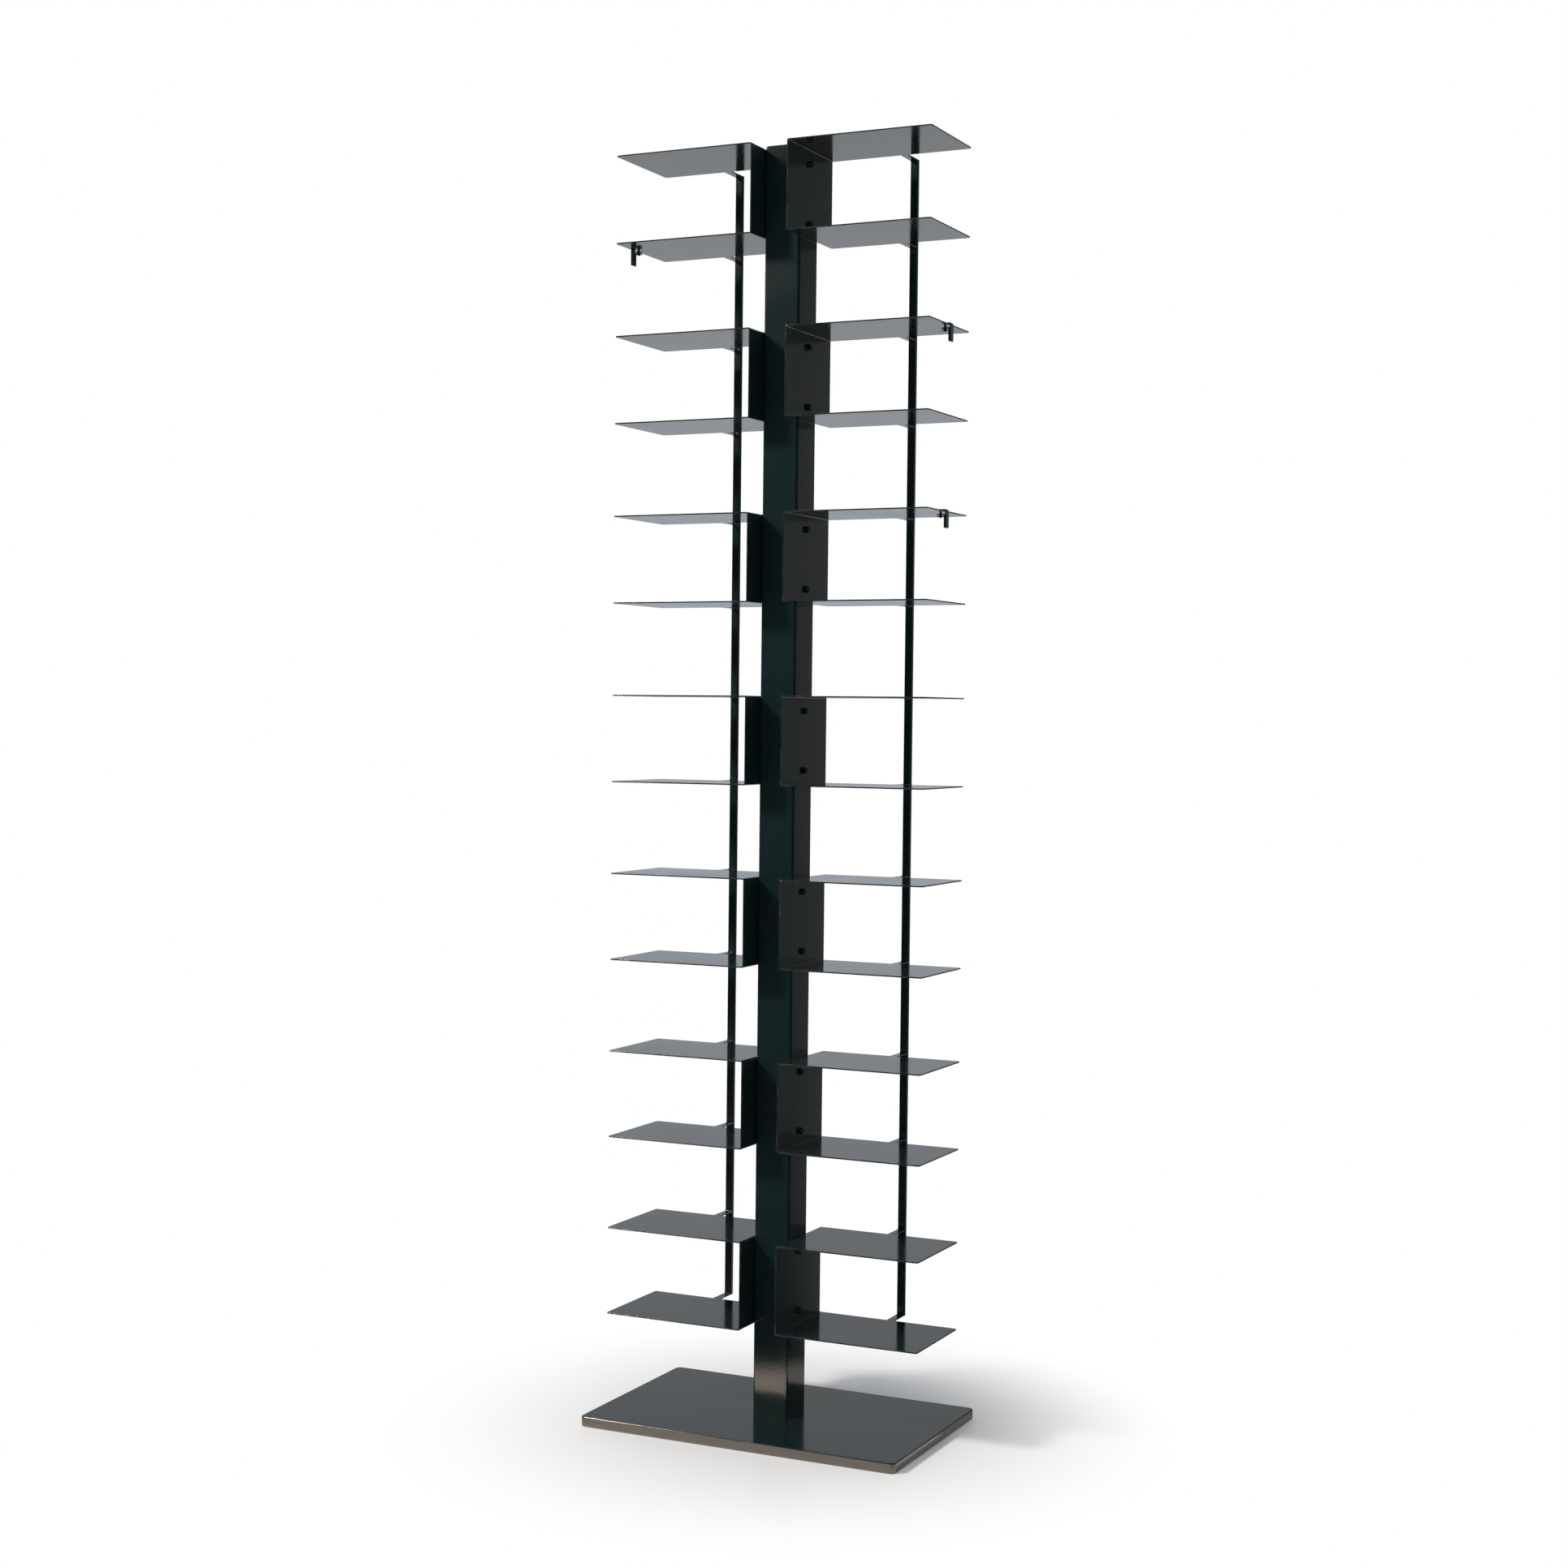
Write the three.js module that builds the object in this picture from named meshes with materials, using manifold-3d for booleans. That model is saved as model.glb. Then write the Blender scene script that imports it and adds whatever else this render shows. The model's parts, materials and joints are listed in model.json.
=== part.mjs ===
// Spine bookshelf: a steel tower with seven open shelf boxes on each side of one narrow spine
// Millimetres, X to the right, Y to the rear, Z up, with the origin on the floor under the spine

import * as THREE from 'three';
import { mergeVertices } from 'three/addons/utils/BufferGeometryUtils.js';
import Module from 'manifold-3d';

const wasm = await Module();
wasm.setup();

// Base plate and what it stands on
const baseWidth = 520;
const baseDepth = 320;
const baseThickness = 15;
const baseCornerRadius = 9;
const baseEdgeRadius = 1.5;
const padRadius = 16;
const padThickness = 2;
const padProud = 0.5;
const padInset = 34;

// Spine: a rectangular tube with a plug plate at the foot and a lid on top
const spineWidth = 58;
const spineDepth = 66;
const spineWall = 3;
const spineCornerRadius = 4;
const spineInnerCornerRadius = 1;
const footPlateThickness = 12;
const capThickness = 4;
const capEdgeRadius = 3.5;
const capBossHeight = 8;

// Shelf boxes, counted from the top, with an open bay below each
const boxesPerSide = 7;
const boxHeight = 135;
const bayHeight = 140;
const shelfWidth = 231;
const shelfDepth = 160;
const sheetThickness = 2;
const bendInnerRadius = 1;
const plateCornerRadius = 4;

// Rear bars, carried by a tongue at the back of every plate
const barWidth = 12;
const barThickness = 8;
const barCornerRadius = 1.5;
const barSetBack = 40;
const barFromSpine = 121;

// Bolts that go through a left box, the spine and the opposite right box into its weld nuts
const boltRadius = 3;
const boltHeadRadius = 5.25;
const boltHeadHeight = 3.3;
const boltHeadTopShare = 0.6;
const boltFromPlate = 22.5;
const weldNutRadius = 5.8;
const weldNutHeight = 5;

// Countersunk screws up through the base plate into the foot plate
const baseScrewRadius = 4;
const baseScrewHeadRadius = 8;
const baseScrewHeadLand = 0.6;
const baseScrewLength = 24;
const baseScrewRecess = 0.4;
const baseScrewInset = 10.7;

// Strip clips that hook over the outer edge of a plate, and their places as shares of its depth
const clipWidth = 10;
const clipStrip = 2;
const clipBendRadius = 3;
const clipHeight = 28;
const clipHemSlit = 0.3;
const clipArmDrop = 3;
const clipArmMargin = 2.1;
const clipLeftShare = -0.14375;
const clipRightUpperShare = 0.025;
const clipRightLowerShare = -0.03125;

// Winged clamp screw of each clip
const thumbThreadRadius = 2;
const thumbHubRadius = 2.4;
const thumbHubHeight = 3;
const thumbHubChamfer = 0.6;
const wingRadius = 6.2;
const wingThickness = 1.6;
const wingRise = 1.3;
const wingDroop = 1.2;
const wingTurn = Math.PI / 8;

// Clearances
const seatGap = 0.3;
const clipRunning = 0.2;
const threadRunning = 0.2;
const tipGap = 0.1;
const wingGap = 0.7;
const overrun = 5;

// Roundness and solid building
const cornerSteps = 5;
const edgeSteps = 3;
const roundSteps = 24;
const boltSteps = 12;
const nutSides = 6;
const mergeTolerance = 0.0001;
const filletLimitShare = 0.9;

// Places worked out from the sizes above
const baseTop = padProud + baseThickness;
const boxPitch = boxHeight + bayHeight;
const spineFace = spineWidth / 2;
const spineTop = baseTop + boxesPerSide * boxPitch;
const lowestBox = baseTop + bayHeight;
const boxBottom = (index) => spineTop - boxHeight - index * boxPitch;
const plugWidth = spineWidth - 2 * (spineWall + seatGap);
const plugDepth = spineDepth - 2 * (spineWall + seatGap);
const plateEdge = spineFace + shelfWidth;

// Finishes
const powderCoat = { color: 0x1b2426, roughness: 0.32, metalness: 0.1 };
const blackenedSteel = { color: 0x15181a, roughness: 0.4, metalness: 0.8 };
const rubber = { color: 0x17181a, roughness: 0.85, metalness: 0 };

const bookshelf = new THREE.Group();
bookshelf.name = 'spine_bookshelf';

function addPiece(name, geometry, finish, place = [0, 0, 0], turn = 0) {
  const piece = new THREE.Mesh(geometry, new THREE.MeshStandardMaterial(finish));
  piece.name = name;
  piece.position.set(...place);
  piece.rotation.z = turn;
  bookshelf.add(piece);
}

// Closed solid of a geometry, with shared vertices merged and empty triangles dropped
function solidOf(geometry) {
  const bare = geometry.clone();
  bare.deleteAttribute('normal');
  bare.deleteAttribute('uv');
  const merged = mergeVertices(bare, mergeTolerance);
  const corners = merged.index.array;
  const triangles = [];
  for (let i = 0; i < corners.length; i += 3) {
    const [a, b, c] = [corners[i], corners[i + 1], corners[i + 2]];
    if (a !== b && b !== c && c !== a) triangles.push(a, b, c);
  }
  return new wasm.Manifold(new wasm.Mesh({
    numProp: 3,
    vertProperties: Float32Array.from(merged.attributes.position.array),
    triVerts: Uint32Array.from(triangles),
  }));
}

function geometryOf(solid) {
  const mesh = solid.getMesh();
  const geometry = new THREE.BufferGeometry();
  geometry.setAttribute('position', new THREE.BufferAttribute(mesh.vertProperties, mesh.numProp));
  geometry.setIndex(new THREE.BufferAttribute(mesh.triVerts, 1));
  geometry.computeVertexNormals();
  return geometry;
}

function cut(geometry, tools) {
  let solid = solidOf(geometry);
  for (const tool of tools) solid = solid.subtract(solidOf(tool));
  return geometryOf(solid);
}

// Mirror image across the YZ plane, with the faces still pointing out
function mirrored(geometry) {
  const image = geometry.clone().scale(-1, 1, 1);
  const corners = image.index.array;
  for (let i = 0; i < corners.length; i += 3) {
    [corners[i + 1], corners[i + 2]] = [corners[i + 2], corners[i + 1]];
  }
  image.computeVertexNormals();
  return image;
}

// Block with rounded upright corners, lofted through levels of height and inset
function roundedBlock(width, depth, radius, levels) {
  const positions = [];
  const ring = 4 * (cornerSteps + 1);
  for (const [height, inset] of levels) {
    for (let corner = 0; corner < 4; corner += 1) {
      const sideX = corner === 0 || corner === 3 ? 1 : -1;
      const sideY = corner < 2 ? 1 : -1;
      for (let step = 0; step <= cornerSteps; step += 1) {
        const angle = (corner + step / cornerSteps) * Math.PI / 2;
        positions.push(
          sideX * (width / 2 - radius) + (radius - inset) * Math.cos(angle),
          sideY * (depth / 2 - radius) + (radius - inset) * Math.sin(angle),
          height,
        );
      }
    }
  }
  const triangles = [];
  const last = (levels.length - 1) * ring;
  for (let level = 0; level < last; level += ring) {
    for (let i = 0; i < ring; i += 1) {
      const next = (i + 1) % ring;
      triangles.push(level + i, level + next, level + ring + next);
      triangles.push(level + i, level + ring + next, level + ring + i);
    }
  }
  for (let i = 1; i < ring - 1; i += 1) {
    triangles.push(0, i + 1, i);
    triangles.push(last, last + i, last + i + 1);
  }
  const geometry = new THREE.BufferGeometry();
  geometry.setAttribute('position', new THREE.Float32BufferAttribute(positions, 3));
  geometry.setIndex(triangles);
  geometry.computeVertexNormals();
  return geometry;
}

// Levels of a block whose lower and upper rims are rounded by the given radii
function rimLevels(bottom, top, lowerRadius, upperRadius) {
  const levels = [];
  for (let step = 0; step <= edgeSteps; step += 1) {
    const angle = (step / edgeSteps) * Math.PI / 2;
    levels.push([bottom + lowerRadius * (1 - Math.cos(angle)), lowerRadius * (1 - Math.sin(angle))]);
  }
  for (let step = 0; step <= edgeSteps; step += 1) {
    const angle = (step / edgeSteps) * Math.PI / 2;
    levels.push([top - upperRadius * (1 - Math.sin(angle)), upperRadius * (1 - Math.cos(angle))]);
  }
  return levels;
}

// Upright cylinder from one height to another
function cylinder(radius, bottom, top, steps, x = 0, y = 0) {
  const geometry = new THREE.CylinderGeometry(radius, radius, top - bottom, steps);
  return geometry.rotateX(Math.PI / 2).translate(x, y, (bottom + top) / 2);
}

// Turned piece about Z from points of radius and height, lowest first
function turned(points, steps) {
  const profile = points.map(([radius, height]) => new THREE.Vector2(radius, height));
  return new THREE.LatheGeometry(profile, steps).rotateX(Math.PI / 2);
}

// Glide pads: each sits in a shallow pocket under a corner of the base
const padPlaces = [
  ['front_left', -1, -1],
  ['front_right', 1, -1],
  ['rear_left', -1, 1],
  ['rear_right', 1, 1],
];
const padX = baseWidth / 2 - padInset;
const padY = baseDepth / 2 - padInset;
for (const [corner, sideX, sideY] of padPlaces) {
  const pad = cylinder(padRadius, 0, padThickness, roundSteps);
  addPiece(`glide_pad_${corner}`, pad, rubber, [sideX * padX, sideY * padY, 0]);
}

// Base plate, with a pocket for each pad and a countersunk hole for each screw
const baseScrewPlaces = [];
for (const sideX of [-1, 1]) {
  for (const sideY of [-1, 1]) {
    const place = [sideX * (plugWidth / 2 - baseScrewInset), sideY * (plugDepth / 2 - baseScrewInset)];
    baseScrewPlaces.push(place);
  }
}
const headBottom = padProud + baseScrewRecess;
const coneTop = headBottom + baseScrewHeadLand + baseScrewHeadRadius - baseScrewRadius;
const baseTools = padPlaces.map(([, sideX, sideY]) => cylinder(
  padRadius + seatGap, -overrun, padThickness, roundSteps, sideX * padX, sideY * padY,
));
for (const [x, y] of baseScrewPlaces) {
  baseTools.push(turned([
    [0, -overrun],
    [baseScrewHeadRadius + seatGap, -overrun],
    [baseScrewHeadRadius + seatGap, headBottom + baseScrewHeadLand],
    [baseScrewRadius + seatGap, coneTop],
    [baseScrewRadius + seatGap, baseTop + overrun],
    [0, baseTop + overrun],
  ], boltSteps).translate(x, y, 0));
}
const baseRim = Math.min(baseEdgeRadius, baseThickness / 2, baseCornerRadius * filletLimitShare);
const baseBlock = roundedBlock(
  baseWidth, baseDepth, baseCornerRadius, rimLevels(padProud, baseTop, baseRim, baseRim),
);
addPiece('base_plate', cut(baseBlock, baseTools), powderCoat);

// Countersunk screws from below
const baseScrew = turned([
  [0, headBottom],
  [baseScrewHeadRadius, headBottom],
  [baseScrewHeadRadius, headBottom + baseScrewHeadLand],
  [baseScrewRadius, coneTop],
  [baseScrewRadius, headBottom + baseScrewLength],
  [0, headBottom + baseScrewLength],
], boltSteps);
baseScrewPlaces.forEach(([x, y], index) => {
  addPiece(`base_screw_${index + 1}`, baseScrew, blackenedSteel, [x, y, 0]);
});

// Foot plate: the tapped plug welded into the lower end of the tube
const footHoles = baseScrewPlaces.map(([x, y]) => cylinder(
  baseScrewRadius + seatGap, baseTop - overrun, baseTop + footPlateThickness + overrun, boltSteps, x, y,
));
const footBlock = roundedBlock(plugWidth, plugDepth, spineInnerCornerRadius, [
  [baseTop, 0],
  [baseTop + footPlateThickness, 0],
]);
addPiece('spine_foot_plate', cut(footBlock, footHoles), powderCoat);

// Heights of the two bolts of a box above its lower plate
const boltRises = [
  ['lower', boltFromPlate],
  ['upper', boxHeight - boltFromPlate],
];

// Spine tube, drilled through both sides for the bolts
const spineOuter = roundedBlock(spineWidth, spineDepth, spineCornerRadius, [
  [baseTop, 0],
  [spineTop, 0],
]);
const spineBore = roundedBlock(
  spineWidth - 2 * spineWall, spineDepth - 2 * spineWall, spineInnerCornerRadius,
  [[baseTop - overrun, 0], [spineTop + overrun, 0]],
);
const spineDrills = [];
for (let index = 0; index < boxesPerSide; index += 1) {
  for (const [, rise] of boltRises) {
    const drill = cylinder(boltRadius + seatGap, -spineFace - overrun, spineFace + overrun, boltSteps);
    spineDrills.push(drill.rotateY(Math.PI / 2).translate(0, 0, boxBottom(index) + rise));
  }
}
addPiece('spine_tube', cut(spineOuter, [spineBore, ...spineDrills]), powderCoat);

// Spine cap: a lid with a rounded upper rim and a boss inside the tube
const capRim = Math.min(capEdgeRadius, capThickness, spineCornerRadius * filletLimitShare);
const capLid = roundedBlock(
  spineWidth, spineDepth, spineCornerRadius,
  rimLevels(spineTop, spineTop + capThickness, 0, capRim).slice(edgeSteps),
);
const capBoss = roundedBlock(plugWidth, plugDepth, spineInnerCornerRadius, [
  [spineTop - capBossHeight, 0],
  [spineTop + capThickness / 2, 0],
]);
addPiece('spine_cap', geometryOf(solidOf(capLid).add(solidOf(capBoss))), powderCoat);

// Shelf box, as on the right: one sheet folded to a C, with a rear tongue on each plate
function shelfBox(hasWeldNuts) {
  const outer = bendInnerRadius + sheetThickness;
  const fold = new THREE.Shape();
  fold.moveTo(shelfWidth, 0);
  fold.lineTo(outer, 0);
  fold.absarc(outer, outer, outer, -Math.PI / 2, -Math.PI, true);
  fold.lineTo(0, boxHeight - outer);
  fold.absarc(outer, boxHeight - outer, outer, Math.PI, Math.PI / 2, true);
  fold.lineTo(shelfWidth, boxHeight);
  fold.lineTo(shelfWidth, boxHeight - sheetThickness);
  fold.lineTo(outer, boxHeight - sheetThickness);
  fold.absarc(outer, boxHeight - outer, bendInnerRadius, Math.PI / 2, Math.PI, false);
  fold.lineTo(sheetThickness, outer);
  fold.absarc(outer, outer, bendInnerRadius, Math.PI, 3 * Math.PI / 2, false);
  fold.lineTo(shelfWidth, sheetThickness);
  const halfDepth = shelfDepth / 2;
  const tongueEnd = halfDepth + barSetBack;
  const folded = new THREE.ExtrudeGeometry(fold, {
    depth: halfDepth + overrun + tongueEnd, bevelEnabled: false, curveSegments: cornerSteps,
  });
  folded.rotateX(Math.PI / 2).translate(0, tongueEnd, 0);

  const corner = plateCornerRadius;
  const plan = new THREE.Shape();
  plan.moveTo(-overrun, -halfDepth);
  plan.lineTo(shelfWidth - corner, -halfDepth);
  plan.absarc(shelfWidth - corner, corner - halfDepth, corner, -Math.PI / 2, 0, false);
  plan.lineTo(shelfWidth, halfDepth - corner);
  plan.absarc(shelfWidth - corner, halfDepth - corner, corner, 0, Math.PI / 2, false);
  plan.lineTo(barFromSpine + barWidth / 2, halfDepth);
  plan.lineTo(barFromSpine + barWidth / 2, tongueEnd + overrun);
  plan.lineTo(barFromSpine - barWidth / 2, tongueEnd + overrun);
  plan.lineTo(barFromSpine - barWidth / 2, halfDepth);
  plan.lineTo(-overrun, halfDepth);
  const column = new THREE.ExtrudeGeometry(plan, {
    depth: boxHeight + 2 * overrun, bevelEnabled: false, curveSegments: cornerSteps,
  });
  column.translate(0, 0, -overrun);

  let box = solidOf(folded).intersect(solidOf(column));
  const nutEnd = sheetThickness + weldNutHeight;
  for (const [, rise] of boltRises) {
    if (hasWeldNuts) {
      const nut = cylinder(weldNutRadius, sheetThickness / 2, nutEnd, nutSides);
      box = box.add(solidOf(nut.rotateY(Math.PI / 2).translate(0, 0, rise)));
    }
    const drill = cylinder(boltRadius + seatGap, -overrun, nutEnd + overrun, boltSteps);
    box = box.subtract(solidOf(drill.rotateY(Math.PI / 2).translate(0, 0, rise)));
  }
  return geometryOf(box);
}

// Bolt along X: button head on the left box's wall, shank to the end of the right box's weld nut
const boltSeat = -spineFace - sheetThickness;
const bolt = turned([
  [0, boltSeat - boltHeadHeight],
  [boltHeadRadius * boltHeadTopShare, boltSeat - boltHeadHeight],
  [boltHeadRadius, boltSeat],
  [boltRadius, boltSeat],
  [boltRadius, spineFace + sheetThickness + weldNutHeight],
  [0, spineFace + sheetThickness + weldNutHeight],
], boltSteps).rotateY(Math.PI / 2);

// Rear bar: a rolled flat welded to the ends of the tongues
const barBlock = roundedBlock(barWidth, barThickness, barCornerRadius, [
  [lowestBox, 0],
  [spineTop, 0],
]);
const barY = shelfDepth / 2 + barSetBack + barThickness / 2;

for (const [name, side, box] of [['left', -1, mirrored(shelfBox(false))], ['right', 1, shelfBox(true)]]) {
  for (let index = 0; index < boxesPerSide; index += 1) {
    addPiece(`shelf_box_${name}_${index + 1}`, box, powderCoat, [side * spineFace, 0, boxBottom(index)]);
  }
  addPiece(`${name}_rear_bar`, barBlock, powderCoat, [side * (spineFace + barFromSpine), barY, 0]);
}
for (let index = 0; index < boxesPerSide; index += 1) {
  for (const [place, rise] of boltRises) {
    addPiece(`box_bolt_${index + 1}_${place}`, bolt, blackenedSteel, [0, 0, boxBottom(index) + rise]);
  }
}

// Clip on a right-hand edge, from the plate's top outer edge: hooked, hemmed and folded back under
const legInner = clipRunning - clipHemSlit - clipStrip;
const screwInset = wingRadius + wingGap - legInner;
const clipArm = screwInset + thumbThreadRadius + clipArmMargin;
const lowerArmTop = -sheetThickness - clipArmDrop;
const lowerArmBottom = lowerArmTop - clipStrip;

function edgeClip() {
  const outside = clipRunning + clipStrip;
  const hemRadius = (outside - legInner) / 2;
  const hemHeight = outside - clipHeight + hemRadius;
  const strip = new THREE.Shape();
  strip.moveTo(-clipArm, outside);
  strip.lineTo(outside - clipBendRadius, outside);
  strip.absarc(outside - clipBendRadius, outside - clipBendRadius, clipBendRadius, Math.PI / 2, 0, true);
  strip.lineTo(outside, hemHeight);
  strip.absarc(outside - hemRadius, hemHeight, hemRadius, 0, -Math.PI, true);
  strip.lineTo(legInner, lowerArmBottom);
  strip.lineTo(-clipArm, lowerArmBottom);
  strip.lineTo(-clipArm, lowerArmTop);
  strip.lineTo(clipRunning - clipHemSlit, lowerArmTop);
  strip.lineTo(clipRunning - clipHemSlit, hemHeight);
  strip.lineTo(clipRunning, hemHeight);
  strip.lineTo(clipRunning, clipRunning);
  strip.lineTo(-clipArm, clipRunning);
  const clip = new THREE.ExtrudeGeometry(strip, {
    depth: clipWidth, bevelEnabled: false, curveSegments: cornerSteps,
  });
  clip.rotateX(Math.PI / 2).translate(0, clipWidth / 2, 0);
  const tapped = cylinder(
    thumbThreadRadius + threadRunning, lowerArmBottom - overrun, lowerArmTop + clipStrip, boltSteps,
    -screwInset,
  );
  return cut(clip, [tapped]);
}

// Thumb screw from its tip down: thread, hub and two drooping wings
function thumbScrew() {
  const hubTop = lowerArmBottom + sheetThickness + tipGap - seatGap;
  const hubBottom = hubTop - thumbHubHeight;
  const shank = cylinder(thumbThreadRadius, hubTop - thumbHubHeight / 2, 0, boltSteps);
  const hub = turned([
    [0, hubBottom],
    [thumbHubRadius - thumbHubChamfer, hubBottom],
    [thumbHubRadius, hubBottom + thumbHubChamfer],
    [thumbHubRadius, hubTop],
    [0, hubTop],
  ], boltSteps);
  const wings = new THREE.Shape();
  wings.moveTo(-wingRadius, -wingDroop);
  wings.quadraticCurveTo(-wingRadius / 2, 0, 0, 0);
  wings.quadraticCurveTo(wingRadius / 2, 0, wingRadius, -wingDroop);
  wings.lineTo(wingRadius, -wingDroop - wingRise);
  wings.quadraticCurveTo(wingRadius / 2, -wingRise, 0, -wingRise);
  wings.quadraticCurveTo(-wingRadius / 2, -wingRise, -wingRadius, -wingDroop - wingRise);
  const bow = new THREE.ExtrudeGeometry(wings, {
    depth: wingThickness, bevelEnabled: false, curveSegments: cornerSteps,
  });
  bow.rotateX(Math.PI / 2).translate(0, wingThickness / 2, hubTop - seatGap);
  return geometryOf(solidOf(shank).add(solidOf(hub)).add(solidOf(bow)));
}

// Where the clips sit: name, side, top of the plate and place along its edge
const clipPlaces = [
  ['left', -1, boxBottom(0) + sheetThickness, clipLeftShare],
  ['right_upper', 1, boxBottom(1) + boxHeight, clipRightUpperShare],
  ['right_lower', 1, boxBottom(2) + boxHeight, clipRightLowerShare],
];
const rightClip = edgeClip();
const leftClip = mirrored(rightClip);
const thumb = thumbScrew();
for (const [name, side, plateTop, depthShare] of clipPlaces) {
  const clip = side > 0 ? rightClip : leftClip;
  const y = depthShare * shelfDepth;
  addPiece(`clip_${name}`, clip, powderCoat, [side * plateEdge, y, plateTop]);
  const screwPlace = [side * (plateEdge - screwInset), y, plateTop - sheetThickness - tipGap];
  addPiece(`thumb_screw_${name}`, thumb, blackenedSteel, screwPlace, wingTurn);
}

export default bookshelf;
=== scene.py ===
# Spine bookshelf: a free-standing tower of folded sheet steel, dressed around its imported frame
# Lengths are metres in the frame's axes: X to the right, Y to the rear, Z up from the floor
import json
import math

import bmesh
import bpy
from mathutils import Matrix, Vector


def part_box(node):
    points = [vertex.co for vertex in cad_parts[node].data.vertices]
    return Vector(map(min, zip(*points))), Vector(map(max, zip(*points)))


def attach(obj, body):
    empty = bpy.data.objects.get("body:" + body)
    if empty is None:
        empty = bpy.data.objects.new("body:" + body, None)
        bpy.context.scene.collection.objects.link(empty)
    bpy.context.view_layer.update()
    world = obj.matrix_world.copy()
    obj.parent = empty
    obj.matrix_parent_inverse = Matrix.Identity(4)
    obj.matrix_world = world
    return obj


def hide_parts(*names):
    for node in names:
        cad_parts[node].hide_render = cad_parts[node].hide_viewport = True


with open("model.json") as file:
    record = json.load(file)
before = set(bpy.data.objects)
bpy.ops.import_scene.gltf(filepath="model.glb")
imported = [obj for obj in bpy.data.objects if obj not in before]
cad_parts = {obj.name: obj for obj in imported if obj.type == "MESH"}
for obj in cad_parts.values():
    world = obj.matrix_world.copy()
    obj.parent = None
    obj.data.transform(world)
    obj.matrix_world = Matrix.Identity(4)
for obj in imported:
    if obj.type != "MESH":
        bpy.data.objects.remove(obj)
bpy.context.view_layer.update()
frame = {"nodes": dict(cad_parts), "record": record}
nodes = frame["nodes"]
scene = bpy.context.scene
MM = 0.001

# Camera: the photograph's view, from the right of the front at chest height, almost level,
# through a long lens, so that the uprights stay close to parallel
CAMERA_PLACE = Vector((1.59461, -3.36041, 1.08696))
CAMERA_YAW = math.radians(25.421)
CAMERA_PITCH = math.radians(-1.6216)
CAMERA_ROLL = math.radians(0.6165)
IMAGE_PIXELS = 1932
FOCAL_PIXELS = 3003.7
FILM_WIDTH = 36

view_lens = bpy.data.cameras.new("view_camera")
view_lens.sensor_width = FILM_WIDTH
view_lens.lens = FILM_WIDTH * FOCAL_PIXELS / IMAGE_PIXELS
view_camera = bpy.data.objects.new("view_camera", view_lens)
view_camera.matrix_world = (
    Matrix.Translation(CAMERA_PLACE)
    @ Matrix.Rotation(CAMERA_YAW, 4, "Z")
    @ Matrix.Rotation(math.pi / 2 + CAMERA_PITCH, 4, "X")
    @ Matrix.Rotation(CAMERA_ROLL, 4, "Z")
)
scene.collection.objects.link(view_camera)
scene.camera = view_camera
scene.view_settings.view_transform = "Standard"


# Studio: a white cove behind the tower and a dark room around the camera; one small softbox,
# far off on the left of the front, gives the crisp shadow on the right, and a cool fill the rest
def colour(code):
    """Linear colour with alpha of an sRGB hex code"""
    values = [int(code[i:i + 2], 16) / 255 for i in (1, 3, 5)]
    return [v / 12.92 if v <= 0.04045 else ((v + 0.055) / 1.055) ** 2.4 for v in values] + [1.0]


def add_node(tree, kind, values=(), links=(), **settings):
    """Node of a tree, with its settings, with values for sockets and with sockets linked to outputs"""
    node = tree.nodes.new(kind)
    for name, value in settings.items():
        setattr(node, name, value)
    for socket, value in dict(values).items():
        node.inputs[socket].default_value = value
    for socket, source in dict(links).items():
        tree.links.new(source, node.inputs[socket])
    return node


COVE_WHITE = colour("#ffffff")
# The cove that steel mirrors is toned down, so that empty plates still look black
COVE_MIRRORED = colour("#b4bcc5")
ROOM_DARK = colour("#0e1b1e")
FILL_LIGHT = colour("#bfc2c5")
BACKDROP_HEADING = (-0.42, 0.9, 0.12)
BACKDROP_NEAR = 0.55
BACKDROP_FULL = 0.92
COVE_TOP_START = 0.02
COVE_TOP_END = 0.45
COVE_TOP_LEVEL = 0.22
# Sockets of a colour Mix node: its two colours and its result
MIX_A = 6
MIX_B = 7
MIX_RESULT = 2


def room_colour(tree, heading, is_mirrored):
    """White, or for mirrored rays the room along a heading: pale behind and low, dark above and in front"""
    level = add_node(tree, "ShaderNodeVectorMath", links={0: heading}, operation="NORMALIZE")
    towards = add_node(
        tree, "ShaderNodeVectorMath", {1: BACKDROP_HEADING}, {0: level.outputs[0]}, operation="DOT_PRODUCT",
    )
    share = add_node(
        tree, "ShaderNodeMapRange", {"From Min": BACKDROP_NEAR, "From Max": BACKDROP_FULL},
        {"Value": towards.outputs["Value"]}, interpolation_type="SMOOTHSTEP",
    )
    upward = add_node(tree, "ShaderNodeSeparateXYZ", links={0: level.outputs[0]})
    top_fade = add_node(
        tree, "ShaderNodeMapRange",
        {"From Min": COVE_TOP_START, "From Max": COVE_TOP_END, "To Min": 1.0, "To Max": COVE_TOP_LEVEL},
        {"Value": upward.outputs["Z"]}, interpolation_type="SMOOTHSTEP",
    )
    lit = add_node(
        tree, "ShaderNodeMath", links={0: share.outputs[0], 1: top_fade.outputs[0]}, operation="MULTIPLY",
    )
    room = add_node(
        tree, "ShaderNodeMix", {MIX_A: ROOM_DARK, MIX_B: COVE_MIRRORED},
        {0: lit.outputs[0]}, data_type="RGBA",
    )
    seen = add_node(
        tree, "ShaderNodeMix", {MIX_A: COVE_WHITE},
        {0: is_mirrored, MIX_B: room.outputs[MIX_RESULT]}, data_type="RGBA",
    )
    return seen.outputs[MIX_RESULT]


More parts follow.
